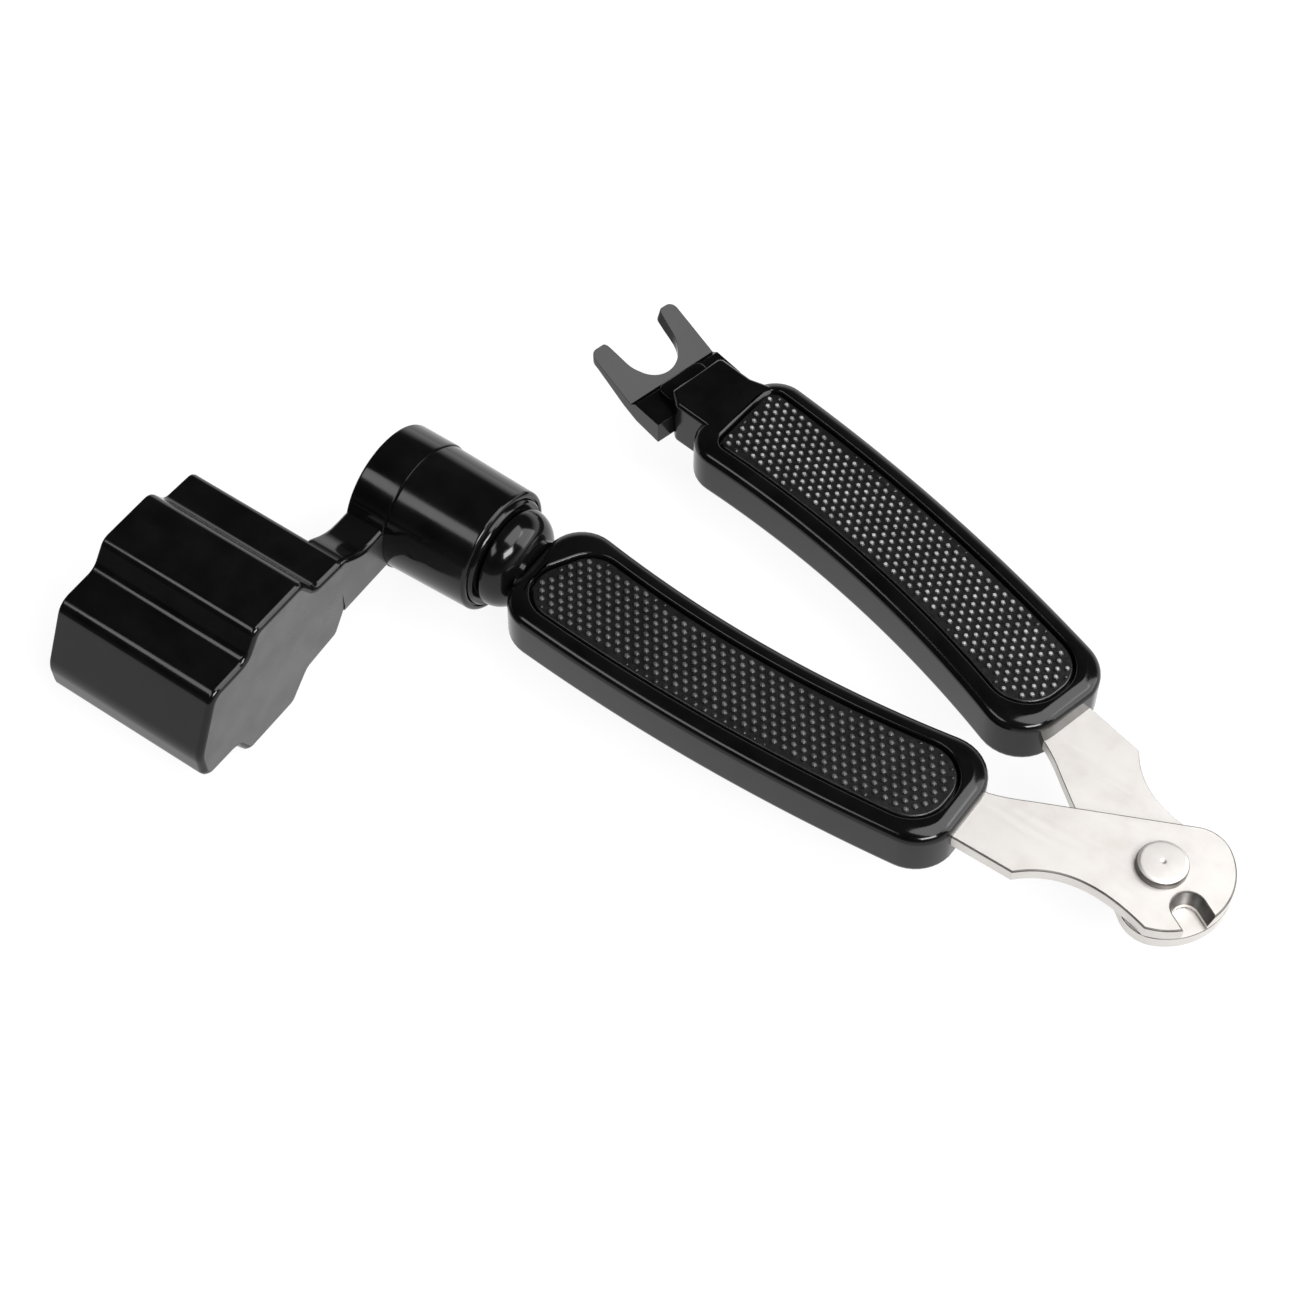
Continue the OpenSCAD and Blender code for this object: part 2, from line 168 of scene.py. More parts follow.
def corner(a, b, c, r, n=6):
    """The arc that rounds corner b between a and c by radius r."""
    a, b, c = Vector(a[:2]), Vector(b[:2]), Vector(c[:2])
    u, v = (a - b).normalized(), (c - b).normalized()
    half = math.acos(max(-1, min(1, u.dot(v)))) / 2
    m = b + (u + v).normalized() * (r / math.sin(half))
    p, q = b + u * (r / math.tan(half)), b + v * (r / math.tan(half))
    a0 = angle_from(m, p)
    turn = angle_from(m, q) - a0
    turn -= 360 * round(turn / 360)
    return arc(m, r, a0, a0 + turn, n)


def rounded(points, n=6):
    """Corners given as (x, y, radius) become arcs."""
    out = []
    for i, b in enumerate(points):
        out += corner(points[i - 1], b, points[(i + 1) % len(points)], b[2], n)
    return out


SOCKET_CORNERS = [
    (16.5, 6.6, 1.5), (23.1, 7.1, 2), (25.3, 10.8, 2), (35, 11, 2.2), (37.8, 7.4, 2.5), (44.7, 7.4, 3),
    (49.5, -2, 5), (49.3, -7.5, 2), (42.6, -7.7, 1.5), (40.8, -11.3, 1.8), (30.9, -11.2, 2),
    (27.1, -7.4, 2), (20.7, -6.8, 1.5), (18.1, -3.2, 2),
]


def socket_outline(w):
    """Reach and depth below the crank's axis, moved inwards by w."""
    out = []
    for i, b in enumerate(SOCKET_CORNERS):
        a, c = SOCKET_CORNERS[i - 1], SOCKET_CORNERS[(i + 1) % len(SOCKET_CORNERS)]
        u = Vector((b[0] - a[0], b[1] - a[1])).normalized()
        v = Vector((c[0] - b[0], c[1] - b[1])).normalized()
        k = w / (1 + u.dot(v))
        hollow = u.x * v.y - u.y * v.x > 0
        r = b[2] + w if hollow else max(SOCKET_MIN_R, b[2] - w)
        out.append((b[0] + k * (u.y + v.y), -b[1] + k * (u.x + v.x), r))
    return rounded(out, 8)


def at_height(points, z):
    """An outline in plan, lifted to a height."""
    return [(x, y, z) for x, y in points]


def polar(r, degrees):
    """The point at radius r in a direction."""
    return (r * math.cos(math.radians(degrees)), r * math.sin(math.radians(degrees)))


def circle(r, n):
    """n points around the origin."""
    return [(r * math.cos(2 * math.pi * i / n), r * math.sin(2 * math.pi * i / n)) for i in range(n)]


def bezier(p, n):
    """n steps along the cubic curve with the four control points p."""
    out = []
    for i in range(n + 1):
        t = i / n
        s = 1 - t
        k = (s ** 3, 3 * s * s * t, 3 * s * t * t, t ** 3)
        out.append((sum(a * q[0] for a, q in zip(k, p)), sum(a * q[1] for a, q in zip(k, p))))
    return out


def notch_side(radius, pos, shift):
    """The string notch from the disc's rim in and out again, clockwise around the disc."""
    turn = math.radians(NOTCH_ANGLE)
    u = Vector((math.cos(turn), math.sin(turn)))
    p = Vector((-u.y, u.x))
    inner = [u * (pos - radius * math.sin(a)) + p * (shift + radius * math.cos(a))
             for a in [math.radians(step) for step in range(0, 181, 12)]]
    rim = []
    for side in (shift + radius, shift - radius):
        rim.append(u * math.sqrt(DISC_R ** 2 - side ** 2) + p * side)
    return rim[0], [tuple(q) for q in inner], rim[1]


def plate_outline(radius, pos, shift):
    """Tang, neck and disc with its notch, clockwise from the tang's far upper corner."""
    slope, fillet, drop = 24.7, 5.0, 2.0
    side = math.sqrt((DISC_R - fillet) ** 2 - drop ** 2)
    s = math.radians(slope)
    c = (side * math.cos(s) - drop * math.sin(s), side * math.sin(s) + drop * math.cos(s))
    join = math.degrees(math.atan2(c[1], c[0]))
    foot = polar(DISC_R, DISC_FOOT_ANGLE)
    rim_in, inner, rim_out = notch_side(radius, pos, shift)
    b0 = math.degrees(math.atan2(rim_in.y, rim_in.x))
    b1 = math.degrees(math.atan2(rim_out.y, rim_out.x))
    return (
        [(-TANG_END, TANG_Y + TANG_HALF), (-NECK_START, TANG_Y + TANG_HALF)]
        + bezier([(-24, -3.2), (-22, -2.6), (-20.5, -1.9), (-19, -1.13)], 8)
        + arc(c, fillet, 90 + slope, join, 14)
        + arc((0, 0), DISC_R, join, b0, 24)[1:]
        + inner
        + arc((0, 0), DISC_R, b1, DISC_FOOT_ANGLE, 16)
        + bezier([foot, (-3, -7.5), (-10, -6.4), (-SHOULDER_X, TANG_Y - TANG_HALF)], 20)[1:]
        + [(-TANG_END, TANG_Y - TANG_HALF)]
    )


def inset(points, d):
    """A closed outline moved sideways by d, corners mitred."""
    out = []
    for i, b in enumerate(points):
        a, c = Vector(points[i - 1]), Vector(points[(i + 1) % len(points)])
        b = Vector(b)
        u, v = b - a, c - b
        u, v = u.normalized(), v.normalized()
        n1, n2 = Vector((-u.y, u.x)), Vector((-v.y, v.x))
        m = n1 + n2
        k = max(0.5, m.length_squared / 2)
        out.append(tuple(b + m * (d / k)))
    return out


# ---------------------------------------------------------------- meshes

class Solid:
    """Gathers vertices and faces."""

    def __init__(self):
        self.v, self.f = [], []

    def ring(self, points):
        """Adds a row of vertices and returns their numbers."""
        start = len(self.v)
        self.v += [tuple(p) for p in points]
        return list(range(start, start + len(points)))

    def bridge(self, a, b):
        """Faces between two closed rows of equal length."""
        n = len(a)
        for i in range(n):
            j = (i + 1) % n
            self.f.append((a[i], a[j], b[j], b[i]))

    def loft(self, rings):
        """Rings of equal length, joined in order and capped at both ends."""
        ids = [self.ring(r) for r in rings]
        for a, b in zip(ids, ids[1:]):
            self.bridge(a, b)
        self.f.append(tuple(reversed(ids[0])))
        self.f.append(tuple(ids[-1]))

    def lathe(self, profile, place, n=96, closed=False):
        """profile is (radius, height) pairs; a radius of 0 at an end closes it there."""
        rings = []
        for r, h in profile:
            points = circle(r, n) if r else [(0, 0)]
            rings.append(self.ring([place(x, y, h) for x, y in points]))
        pairs = list(zip(rings, rings[1:]))
        if closed:
            pairs.append((rings[-1], rings[0]))
        for a, b in pairs:
            if len(a) == 1:
                self.f += [(a[0], b[(i + 1) % n], b[i]) for i in range(n)]
            elif len(b) == 1:
                self.f += [(a[i], a[(i + 1) % n], b[0]) for i in range(n)]
            else:
                self.bridge(a, b)


def to_mesh(solid, name, matrix):
    """A mesh in the row frame, welded and facing outwards."""
    mesh = bpy.data.meshes.new(name)
    mesh.from_pydata([tuple(matrix @ Vector(v)) for v in solid.v], [], solid.f)
    bm = bmesh.new()
    bm.from_mesh(mesh)
    bmesh.ops.remove_doubles(bm, verts=bm.verts, dist=1e-7)
    bmesh.ops.recalc_face_normals(bm, faces=bm.faces)
    bm.to_mesh(mesh)
    bm.free()
    return mesh


def bake_modifiers(obj):
    """Modifiers become the mesh."""
    bpy.context.view_layer.update()
    graph = bpy.context.evaluated_depsgraph_get()
    mesh = bpy.data.meshes.new_from_object(obj.evaluated_get(graph), depsgraph=graph)
    obj.modifiers.clear()
    obj.data = mesh


def make(name, solid, matrix, material, body, nodes=(), sharp=35, bevel=0, cut=(), join=()):
    """A finished piece: mesh, joined and cut pieces, rounded edges, shading, material, body and replaced
    nodes.
    """
    obj = bpy.data.objects.new(name, to_mesh(solid, name, matrix))
    bpy.context.scene.collection.objects.link(obj)
    helpers = []
    for kind, others in (("UNION", join), ("DIFFERENCE", cut)):
        for k, other in enumerate(others):
            tool = bpy.data.objects.new(name + "_tool", to_mesh(other, name + "_tool", matrix))
            bpy.context.scene.collection.objects.link(tool)
            helpers.append(tool)
            mod = obj.modifiers.new(kind + str(k), "BOOLEAN")
            mod.operation = kind
            mod.solver = "MANIFOLD"
            mod.object = tool
    if helpers:
        bake_modifiers(obj)
        for tool in helpers:
            bpy.data.objects.remove(tool)
    if bevel:
        mod = obj.modifiers.new("bevel", "BEVEL")
        mod.width = bevel * MM
        mod.segments = 3
        mod.limit_method = "ANGLE"
        mod.angle_limit = math.radians(32)
        bake_modifiers(obj)
    obj.data.name = name
    obj.data.polygons.foreach_set("use_smooth", [True] * len(obj.data.polygons))
    obj.data.set_sharp_from_angle(angle=math.radians(sharp))
    mod = obj.modifiers.new("normals", "WEIGHTED_NORMAL")
    mod.keep_sharp = True
    mod.weight = 80
    bake_modifiers(obj)
    obj.data.materials.clear()
    obj.data.materials.append(material)
    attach(obj, body)
    if nodes:
        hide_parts(*nodes)
    return obj


def repaint(obj, material, chosen):
    """The faces that chosen() picks get a second material."""
    obj.data.materials.append(material)
    for face in obj.data.polygons:
        if chosen(face):
            face.material_index = 1


# ---------------------------------------------------------------- materials

def new_material(name):
    """A node material with its tree, its shader and a coordinate source."""
    mat = bpy.data.materials.new(name)
    mat.use_nodes = True
    nodes, links = mat.node_tree.nodes, mat.node_tree.links
    shader = nodes["Principled BSDF"]
    coords = nodes.new("ShaderNodeTexCoord")
    return mat, nodes, links, shader, coords


def noise(nodes, links, coords, scale, detail=3.0, stretch=(1, 1, 1), turn=0.0):
    """Noise in object space, with scale in cells per metre."""
    mapping = nodes.new("ShaderNodeMapping")
    mapping.inputs["Scale"].default_value = stretch
    mapping.inputs["Rotation"].default_value = (0, 0, turn)
    links.new(coords.outputs["Object"], mapping.inputs["Vector"])
    tex = nodes.new("ShaderNodeTexNoise")
    tex.inputs["Scale"].default_value = scale
    tex.inputs["Detail"].default_value = detail
    links.new(mapping.outputs["Vector"], tex.inputs["Vector"])
    return tex.outputs["Fac"]


def ramp(nodes, links, fac, stops):
    """A colour ramp from (position, colour) stops."""
    node = nodes.new("ShaderNodeValToRGB")
    elements = node.color_ramp.elements
    elements[0].position, elements[0].color = stops[0]
    elements[1].position, elements[1].color = stops[-1]
    for position, color in stops[1:-1]:
        elements.new(position).color = color
    links.new(fac, node.inputs["Fac"])
    return node.outputs["Color"]


def grey(x):
    return (x, x, x, 1)


def bump(nodes, links, heights, shader):
    """heights is (fac, distance in metres) pairs, chained."""
    last = None
    for fac, distance in heights:
        node = nodes.new("ShaderNodeBump")
        node.inputs["Distance"].default_value = distance
        node.inputs["Strength"].default_value = 1.0
        links.new(fac, node.inputs["Height"])
        if last:
            links.new(last, node.inputs["Normal"])
        last = node.outputs["Normal"]
    links.new(last, shader.inputs["Normal"])


def moulded_plastic(name, dark, light, rough_low, rough_high, peel, level=0.3):
    """Glossy moulded plastic: faint mottling, uneven gloss from handling, orange peel, fine dust."""
    mat, nodes, links, shader, coords = new_material(name)
    tone = noise(nodes, links, coords, 220, 4)
    links.new(ramp(nodes, links, tone, [(0.35, grey(dark)), (0.65, grey(light))]),
              shader.inputs["Base Color"])
    gloss = noise(nodes, links, coords, 90, 5)
    links.new(ramp(nodes, links, gloss, [(0.35, grey(rough_low)), (0.7, grey(rough_high))]),
              shader.inputs["Roughness"])
    shader.inputs["Specular IOR Level"].default_value = level
    bump(nodes, links, [(noise(nodes, links, coords, 700, 2), peel),
                        (noise(nodes, links, coords, 6000, 1), peel * 0.1)], shader)
    return mat


def grip_material(name, dark, light):
    """Firm rubbery pad: satin, a little dusty."""
    mat, nodes, links, shader, coords = new_material(name)
    tone = noise(nodes, links, coords, 500, 5)
    links.new(ramp(nodes, links, tone, [(0.35, grey(dark)), (0.7, grey(light))]), shader.inputs["Base Color"])
    gloss = noise(nodes, links, coords, 1500, 3)
    links.new(ramp(nodes, links, gloss, [(0.3, grey(0.26)), (0.7, grey(0.36))]), shader.inputs["Roughness"])
    bump(nodes, links, [(noise(nodes, links, coords, 5000, 2), 6e-6)], shader)
    return mat


def metal(name, stops, rough_low, rough_high, turn, grain_depth):
    """Nickelled steel: faint warm clouds, fine grain along one way, stray scratches."""
    mat, nodes, links, shader, coords = new_material(name)
    shader.inputs["Metallic"].default_value = 1.0
    clouds = noise(nodes, links, coords, 260, 4)
    links.new(ramp(nodes, links, clouds, stops), shader.inputs["Base Color"])
    grain = noise(nodes, links, coords, 1200, 4, (0.06, 1, 1), turn)
    links.new(ramp(nodes, links, grain, [(0.35, grey(rough_low)), (0.65, grey(rough_high))]),
              shader.inputs["Roughness"])
    scratches = noise(nodes, links, coords, 2400, 2, (0.02, 1, 1), turn + 0.5)
    bump(nodes, links, [(grain, grain_depth), (scratches, grain_depth * 0.6)], shader)
    return mat


PLASTIC = moulded_plastic("black_gloss_plastic", 0.002, 0.0035, 0.10, 0.17, 4e-6)
# The crank's end face is the same black plastic with a lighter base colour and a stronger specular: painted
# light for the brighter light that face catches.
END_FACE_PAINTED_LIGHT = moulded_plastic("satin_end_face_painted_light", 0.012, 0.03, 0.22, 0.32, 8e-6, 0.9)
RUBBER = grip_material("black_grip_rubber", 0.003, 0.007)
# Stud tips: a lighter colour painted as the studs' highlights, a brighter copy for the puller's pads and a
# dimmer copy for the winder's.
STUD_TIP_PAINTED_HIGHLIGHT = grip_material("stud_tips_painted_highlight", 0.16, 0.34)
STUD_TIP_DIM_PAINTED_HIGHLIGHT = grip_material("stud_tips_dim_painted_highlight", 0.03, 0.08)
WARM = [(0.3, (0.66, 0.63, 0.60, 1)), (0.5, (0.70, 0.675, 0.65, 1)), (0.7, (0.72, 0.70, 0.675, 1))]
NICKEL = metal("satin_nickel", WARM, 0.54, 0.60, 0.0, 2e-6)
NICKEL_LOWER = metal("satin_nickel_lower", WARM, 0.54, 0.60, OPEN_ANGLE, 2e-6)
RIVET_METAL = metal("rivet_steel", WARM, 0.46, 0.54, 0.8, 1e-6)
# Dark metal for the plates' bevels and the rivet's side wall: painted shade, standing in for the dark
# surroundings these faces reflect.
EDGE_SHADE_STOPS = [(0.3, (0.10, 0.095, 0.09, 1)), (0.7, (0.20, 0.19, 0.18, 1))]
EDGE_PAINTED_SHADE = metal("edge_painted_shade", EDGE_SHADE_STOPS, 0.34, 0.46, 0.0, 1e-6)
STEEL = metal("plain_steel", [(0.3, grey(0.42)), (0.7, grey(0.56))], 0.25, 0.4, 0.0, 1e-6)


# ---------------------------------------------------------------- handles and pads

def fillet(z, r, n):
    """(inset, height) pairs that round an outline's edge by r, from the side wall up onto the level z."""
    return [(r - r * math.cos(t), z + r * (math.sin(t) - 1))
            for t in [math.pi / 2 * i / n for i in range(n + 1)]]


def handle_rings(far, far_r, pad_far, pad_r):
    """Rings from the top recess floor over the rim and down the wall to the bottom recess floor."""
    def outer(w, z):
        return at_height(handle_outline(w, far, far_r - w, NEAR_R - w), z)

    def recess(w, z):
        grow = w - RIM_W
        far_corner = max(CORNER_MIN_R, pad_r - grow)
        return at_height(handle_outline(w, pad_far, far_corner, NEAR_R - PAD_GAP - grow, lean=RECESS_LEAN), z)

    foot = 0.15
    half = [recess(RIM_W + 0.8, RECESS_Z), recess(RIM_W + foot, RECESS_Z), recess(RIM_W, RECESS_Z + foot)]
    half += [recess(RIM_W - w, z) for w, z in fillet(HANDLE_HALF, RECESS_LIP_R, 5)]
    half += [outer(w, z) for w, z in RIM_PROFILE]
    other = [[(x, y, -z) for x, y, z in ring] for ring in reversed(half)]
    return half + other


def inside(points, x, y):
    """Distance from (x, y) to the outline, negative outside."""
    best, odd = 1e9, False
    for i, b in enumerate(points):
        a = points[i - 1]
        dx, dy = b[0] - a[0], b[1] - a[1]
        t = max(0, min(1, ((x - a[0]) * dx + (y - a[1]) * dy) / (dx * dx + dy * dy)))
        best = min(best, math.hypot(a[0] + t * dx - x, a[1] + t * dy - y))
        if (a[1] > y) != (b[1] > y) and x < a[0] + (y - a[1]) * dx / dy:
            odd = not odd
    return best if odd else -best


STUD_PITCH = 1.58
STUD_ROW = 1.1
STUD_R = 0.52
STUD_H = 0.3
STUD_MIN_R = 0.22
STUD_SUNK = 0.05
STUD_SIDES = 10
STUD_FIRST = (0.6, 0.45)
HIGHLIGHT_SHARE = 0.8


def pad_solid(pad_far, pad_r, sign):
    """The pad and its rows of domed studs. sign is 1 for the face that is up in the handle's frame."""
    solid = Solid()
    base = RIM_W + PAD_GAP
    far_r, near_r = pad_r - PAD_GAP, NEAR_R - 2 * PAD_GAP

    def plan(w, steps=10, edge_steps=40):
        far_corner = max(CORNER_MIN_R, far_r - w)
        return handle_outline(base + w, pad_far, far_corner, near_r - w, steps, edge_steps, RECESS_LEAN)

    rings = [at_height(plan(0), sign * RECESS_Z)]
    rings += [at_height(plan(w), sign * z) for w, z in fillet(PAD_TOP, PAD_EDGE, 3)]
    solid.loft(rings)
    outline = plan(PAD_EDGE, 8, 20)
    xs = [p[0] for p in outline]
    ys = [p[1] for p in outline]
    rows = int((max(ys) - min(ys)) / STUD_ROW) + 1
    columns = int((max(xs) - min(xs)) / STUD_PITCH) + 1
    for j in range(rows):
        y = min(ys) + STUD_FIRST[1] + j * STUD_ROW
        for i in range(columns):
            x = min(xs) + STUD_FIRST[0] + (i + 0.5 * (j % 2)) * STUD_PITCH
            d = inside(outline, x, y)
            if d < STUD_MIN_R:
                continue
            r = min(STUD_R, d)
            h = STUD_H * r / STUD_R
            levels = ((r, -STUD_SUNK), (r * math.cos(math.pi / 6), h / 2),
                      (r / 2, h * math.sin(math.pi / 3)))
            ids = [solid.ring([(x + dx, y + dy, sign * (PAD_TOP + up))
                               for dx, dy in circle(reach, STUD_SIDES)]) for reach, up in levels]
            tip = solid.ring([(x, y, sign * (PAD_TOP + h))])[0]
            solid.f.append(tuple(reversed(ids[0])))
            solid.bridge(ids[0], ids[1])
            solid.bridge(ids[1], ids[2])
            solid.f += [(ids[2][k], ids[2][(k + 1) % STUD_SIDES], tip) for k in range(STUD_SIDES)]
    return solid


handle = Solid()
handle.loft(handle_rings(WINDER_END, WINDER_R, WINDER_PAD_END, WINDER_PAD_R))
make("winder_handle_shell", handle, TO_ROW, PLASTIC, "winder_side", ["winder_handle"])


def make_pad(name, pad_far, pad_r, sign, matrix, body, node, tip):
    """A pad whose stud tips are painted lighter: a painted highlight on each stud."""
    obj = make(name, pad_solid(pad_far, pad_r, sign), matrix, RUBBER, body, [node], sharp=50)
    highlight_start = (PAD_TOP + HIGHLIGHT_SHARE * STUD_H) * MM
    repaint(obj, tip, lambda face: abs(face.center.z - ORIGIN.z) > highlight_start)


# The winder's pads get the dimmer painted highlight on their stud tips.
make_pad("winder_pad_upper", WINDER_PAD_END, WINDER_PAD_R, 1, TO_ROW, "winder_side", "winder_grip_top",
         STUD_TIP_DIM_PAINTED_HIGHLIGHT)
make_pad("winder_pad_lower", WINDER_PAD_END, WINDER_PAD_R, -1, TO_ROW, "winder_side", "winder_grip_bottom",
         STUD_TIP_DIM_PAINTED_HIGHLIGHT)

# Neck of the puller handle, in the opened frame, with a tongue that laps over the fork's seat
FORK_START, BASE_TOP, TONGUE_TOP, TONGUE_SUNK = 98.5, 0.7, 2.0, 0.3
NECK_EDGE_R, TONGUE_EDGE_R = 0.8, 0.35
NECK = [(-90.6, 2.9, 1.0), (-90.6, 15.2, 1.0), (-94.6, 13.4, 1.0), (-100.5, 12.8, 1.0), (-100.2, 3.3, 0.9),
        (-97.8, 2.0, 1.2)]
TONGUE = [(-99.4, 3.2, 0.5), (-99.4, 11.2, 0.5), (-103.4, 11.2, 1.1), (-103.4, 3.2, 1.1)]

neck = Solid()
neck_plan = rounded(NECK)
neck_edge = fillet(HANDLE_HALF, NECK_EDGE_R, 5)
neck.loft([at_height(inset(neck_plan, w), -z) for w, z in reversed(neck_edge)]
          + [at_height(inset(neck_plan, w), z) for w, z in neck_edge])
tongue = Solid()
tongue_plan = rounded(TONGUE)
tongue.loft([at_height(tongue_plan, BASE_TOP - TONGUE_SUNK)]
            + [at_height(inset(tongue_plan, w), z) for w, z in fillet(TONGUE_TOP, TONGUE_EDGE_R, 4)])

# The space that the fork's seat takes out of the neck
SEAT_END, SEAT_SIDE = 105, 9
under_tab = Solid()
box = [(-SEAT_END, AXIS_Y - SEAT_SIDE), (-FORK_START, AXIS_Y - SEAT_SIDE),
       (-FORK_START, AXIS_Y + SEAT_SIDE), (-SEAT_END, AXIS_Y + SEAT_SIDE)]
under_tab.loft([at_height(box, -SEAT_SIDE), at_height(box, BASE_TOP)])

handle = Solid()
turned = Matrix.Rotation(math.pi, 4, "X")
handle.loft([[tuple(turned @ Vector(p)) for p in ring]
             for ring in handle_rings(PULLER_END, PULLER_R, PULLER_PAD_END, PULLER_PAD_R)])
make("puller_handle_shell", handle, OPENED, PLASTIC, "puller_side", ["puller_handle"],
     join=[neck, tongue], cut=[under_tab])
make_pad("puller_pad_upper", PULLER_PAD_END, PULLER_PAD_R, -1, TURNED_OVER, "puller_side",
         "puller_grip_top", STUD_TIP_PAINTED_HIGHLIGHT)
make_pad("puller_pad_lower", PULLER_PAD_END, PULLER_PAD_R, 1, TURNED_OVER, "puller_side",
         "puller_grip_bottom", STUD_TIP_PAINTED_HIGHLIGHT)


# ---------------------------------------------------------------- cutter plates and rivet

def plate_solid(hole_r):
    """Plate with bevelled edges, a round hole and a notch ground back on its outer face."""
    burr, cut_h = 0.08, 0.7
    bottom, top = plate_outline(*NOTCH_CUT), plate_outline(*NOTCH_GROUND)
    levels = [(inset(bottom, -burr), PLATE_GAP), (bottom, PLATE_GAP + burr), (bottom, PLATE_GAP + cut_h),
              (top, PLATE_TOP - PLATE_EDGE), (inset(top, -PLATE_EDGE * 0.35), PLATE_TOP - PLATE_EDGE * 0.3),
              (inset(top, -PLATE_EDGE), PLATE_TOP)]
    solid = Solid()
    solid.loft([at_height(points, z) for points, z in levels])
    hole = Solid()
    hole.loft([at_height(circle(hole_r, 64), z) for z in (-1, 4)])
    return solid, hole


def make_plate(name, hole_r, matrix, material, body, node):
    """A plate whose bevelled edges are painted darker than its faces and walls: painted shade."""
    plate, hole = plate_solid(hole_r)
    obj = make(name, plate, matrix, material, body, [node], cut=[hole])
    repaint(obj, EDGE_PAINTED_SHADE, lambda face: 0.2 < abs(face.normal.z) < 0.97)


make_plate("upper_plate_bevelled", RIVET_R, TO_ROW, NICKEL, "winder_side", "upper_cutter_plate")
make_plate("lower_plate_bevelled", RIVET_R + RUNNING_GAP, TURNED_OVER, NICKEL_LOWER, "puller_side",
           "lower_cutter_plate")

# Rivet: a centre dimple, a level head, a rounded rim, then the shank and the same head below
rivet = Solid()
head = [(0, 3.14), (0.16, 3.16), (0.3, 3.25), (0.4, 3.295), (0.46, RIVET_HEAD_TOP), (0.8, RIVET_HEAD_TOP),
        (2.8, RIVET_HEAD_TOP), (2.96, 3.29), (3.14, 3.22), (3.3, 3.08), (3.4, 2.9), (3.45, 2.7),
        (3.45, PLATE_TOP)]
shank = [(RIVET_R, PLATE_TOP), (RIVET_R, -PLATE_TOP - PLATE_GAP)]
foot = [(r, -z - PLATE_GAP) for r, z in reversed(head)]
rivet.lathe(head + shank + foot, lambda x, y, h: (x, y, h), 72)
obj = make("rivet_turned", rivet, TO_ROW, RIVET_METAL, "winder_side", ["pivot_rivet"])
# The rivet's side wall is painted dark: painted shade.
repaint(obj, EDGE_PAINTED_SHADE, lambda face: abs(face.normal.z) < 0.5)


# ---------------------------------------------------------------- fork

FORK_TIP = -113.8
FORK_HALF_W = 7.85
PRONG_OUTER_R, PRONG_INNER_R = 1.2, 0.8
SLOT_X, SLOT_Y, SLOT_R = -109.8, 7.4, 4.1
FLARE_Z, FLARE_REACH, FLARE_SLOPE = 1, 2.2, 0.476
FORK_TOPS = [(FORK_TIP, 3.1), (-104.6, -0.1), (-103.6, BASE_TOP), (-90, BASE_TOP)]
FORK_BOTTOMS = [(FORK_TIP, 1.7), (-111.6, 1.1), (-106.2, -1.7), (-103.4, -2.65), (-FORK_START, -3.0)]
SLOPE_CHANGES = (-111.6, -106.2, -104.6, -103.6, -103.4)


def height_at(table, x):
    """The height at x in a table of (x, height) rows."""
    for (x0, z0), (x1, z1) in zip(table, table[1:]):
        if x <= x1:
            return z0 + (z1 - z0) * (x - x0) / (x1 - x0)
    return table[-1][1]


def fork_solid():
    """Base and two prongs: the plan is cut where a slope changes, then lifted to its two heights."""
    slot, tip, centre, mid = SLOT_R, FORK_TIP, SLOT_X, SLOT_Y
    near, far = AXIS_Y - FORK_HALF_W, AXIS_Y + FORK_HALF_W
    pts = [(-FORK_START, near), (-FORK_START, far)]
    pts += corner((-FORK_START, far), (tip, far), (tip, mid + slot), PRONG_OUTER_R, 5)
    pts += corner((tip, far), (tip, mid + slot), (centre, mid + slot), PRONG_INNER_R, 5)
    pts += [(centre + slot * math.sin(a), mid + slot * math.cos(a)) for a in
            [math.pi * i / 24 for i in range(25)]]
    pts += corner((centre, mid - slot), (tip, mid - slot), (tip, near), PRONG_INNER_R, 5)
    pts += corner((tip, mid - slot), (tip, near), (-FORK_START, near), PRONG_OUTER_R, 5)

    def lean(x, y, z):
        """The slot's walls lean outwards towards the top."""
        axis = Vector((max(x, centre), y - mid)) - Vector((centre, 0))
        share = max(0, min(1, (slot + FLARE_REACH - axis.length) / FLARE_REACH))
        move = axis.normalized() * share * max(0, z - FLARE_Z) * FLARE_SLOPE
        return (x + move.x, y + move.y, z)

    bm = bmesh.new()
    verts = [bm.verts.new((x, y, 0)) for x, y in pts]
    bm.faces.new(verts)
    for x in SLOPE_CHANGES:
        bmesh.ops.bisect_plane(bm, geom=bm.verts[:] + bm.edges[:] + bm.faces[:], dist=1e-5,
                               plane_co=(x, 0, 0), plane_no=(1, 0, 0))
    bm.verts.index_update()
    solid = Solid()
    tops, bottoms = (solid.ring([lean(v.co.x, v.co.y, height_at(table, v.co.x)) for v in bm.verts])
                     for table in (FORK_TOPS, FORK_BOTTOMS))
    for face in bm.faces:
        ids = [v.index for v in face.verts]
        solid.f.append(tuple(tops[i] for i in ids))
        solid.f.append(tuple(bottoms[i] for i in reversed(ids)))
    for edge in bm.edges:
        if len(edge.link_faces) == 1:
            i, j = (v.index for v in edge.verts)
            solid.f.append((tops[i], tops[j], bottoms[j], bottoms[i]))
    bm.free()
    return solid


make("fork_prongs", fork_solid(), OPENED, PLASTIC, "puller_side", ["pin_fork"], bevel=0.3)


# ---------------------------------------------------------------- crank

def along_x(start):
    """Places lathe points on the crank's axis: height runs from x = -start towards the rivet."""
    return lambda a, b, h: (-start + h, -AXIS_Y + a, b)


